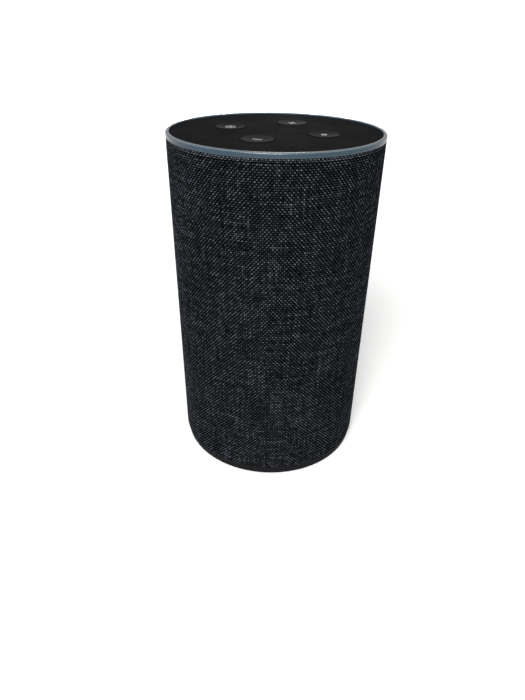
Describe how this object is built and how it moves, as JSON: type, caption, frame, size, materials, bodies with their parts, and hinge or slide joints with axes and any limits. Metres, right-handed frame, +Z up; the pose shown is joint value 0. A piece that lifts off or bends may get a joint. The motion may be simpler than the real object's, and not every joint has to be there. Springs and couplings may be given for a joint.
{
  "type": "smart speaker",
  "caption": "Upright cylindrical smart speaker with a woven fabric sleeve, a translucent light ring around a recessed top deck with round buttons, and power and audio sockets at the back.",
  "frame": {"origin": "centre of the rubber foot on the surface the speaker stands on", "axes": "+Z up along the speaker's axis; the front is -Y, and the two sockets open towards +Y"},
  "size_m": [0.088, 0.088, 0.148],
  "materials": {
    "charcoal_fabric": "plain woven heather, matt",
    "shell_plastic": "fine spark texture",
    "ring_plastic": "smooth translucent grey diffuser, satin gloss",
    "deck_plastic": "fine spark texture",
    "button_plastic": "satin",
    "black_plastic": "moulded, satin",
    "grey_plastic": "moulded, satin",
    "white_plastic": "moulded, satin",
    "foot_rubber": "matt, fine texture",
    "foam": "open-cell foam, matt",
    "felt": "pressed felt",
    "circuit_board": "solder mask, satin",
    "chip_resin": "moulded resin, matt",
    "led_package": "white package with clear lens",
    "steel": "zinc plated",
    "dark_screw": "black zinc",
    "tin_plate": "tinned sheet",
    "heat_aluminium": "extruded, satin",
    "can_aluminium": "drawn can",
    "thermal_gum": "soft silicone pad",
    "copper": "enamelled wire on a paper former",
    "ferrite": "sintered, matt grey",
    "paper_pulp": "pressed fibre, matt",
    "treated_cloth": "resin-dipped corrugated cloth",
    "silk": "coated silk dome",
    "wire_black": "PVC insulation",
    "flat_cable": "polyester film"
  },
  "bodies": {
    "shell": {"fabric_cover": "charcoal_fabric", "shell_tube": "shell_plastic"},
    "core": {"light_ring": "ring_plastic", "top_deck": "deck_plastic", "light_baffle": "foam", "mic_board": "circuit_board", "leds": "led_package", "microphones": "tin_plate", "mic_gaskets": "foot_rubber", "switch_housings": "chip_resin", "mic_board_chips": "chip_resin", "upper_chassis": "black_plastic", "chassis_screws": "steel", "enclosure_body": "grey_plastic", "enclosure_lid": "grey_plastic", "gaskets": "foam", "friction_pads": "felt", "rear_cover": "black_plastic", "case_screws": "dark_screw", "main_board": "circuit_board", "main_board_chips": "chip_resin", "shield_can": "tin_plate", "thermal_pad": "thermal_gum", "heat_sink": "heat_aluminium", "board_screws": "steel", "capacitors": "can_aluminium", "inductors": "ferrite", "wifi_antennas": "wire_black", "ribbon_cable": "flat_cable", "io_harness": "wire_black", "woofer_lead": "wire_black", "tweeter_lead": "wire_black", "woofer_frame": "black_plastic", "woofer_top_plate": "steel", "woofer_magnet": "ferrite", "woofer_yoke": "steel", "woofer_spider": "treated_cloth", "woofer_surround": "foot_rubber", "tweeter_pod": "black_plastic", "tweeter_frame": "black_plastic", "tweeter_surround": "silk", "tweeter_magnet": "ferrite", "tweeter_yoke": "steel", "base_housing": "black_plastic", "base_screws": "steel", "jack_board": "circuit_board", "power_jack": "black_plastic", "power_jack_pin": "tin_plate", "audio_jack": "black_plastic", "port_panel": "black_plastic", "rubber_foot": "foot_rubber"},
    "woofer_cone": {"woofer_cone": "paper_pulp", "voice_coil": "copper", "dust_cap": "paper_pulp"},
    "tweeter_dome": {"tweeter_dome": "silk"},
    "volume_up_button": {"volume_up_button": "button_plastic"},
    "volume_down_button": {"volume_down_button": "button_plastic"},
    "action_button": {"action_button": "button_plastic"},
    "mic_mute_button": {"mic_mute_button": "button_plastic"}
  },
  "joints": [
    {"name": "core_lift", "type": "slide", "parent": "shell", "child": "core", "axis": [0, 0, 1], "range_m": [0, 0.15]},
    {"name": "volume_up_press", "type": "slide", "parent": "core", "child": "volume_up_button", "axis": [0, 0, -1], "range_m": [0, 0.0004], "stiffness_N_per_m": 1200, "springref_m": -0.0005},
    {"name": "volume_down_press", "type": "slide", "parent": "core", "child": "volume_down_button", "axis": [0, 0, -1], "range_m": [0, 0.0004], "stiffness_N_per_m": 1200, "springref_m": -0.0005},
    {"name": "action_press", "type": "slide", "parent": "core", "child": "action_button", "axis": [0, 0, -1], "range_m": [0, 0.0004], "stiffness_N_per_m": 1200, "springref_m": -0.0005},
    {"name": "mic_mute_press", "type": "slide", "parent": "core", "child": "mic_mute_button", "axis": [0, 0, -1], "range_m": [0, 0.0004], "stiffness_N_per_m": 1200, "springref_m": -0.0005},
    {"name": "woofer_stroke", "type": "slide", "parent": "core", "child": "woofer_cone", "axis": [0, 0, 1], "range_m": [-0.0025, 0.0025], "stiffness_N_per_m": 1500, "deforming": ["woofer_surround", "woofer_spider"]},
    {"name": "tweeter_stroke", "type": "slide", "parent": "core", "child": "tweeter_dome", "axis": [0, 0, 1], "range_m": [-0.0003, 0.0003], "stiffness_N_per_m": 1500, "deforming": ["tweeter_surround"]}
  ]
}
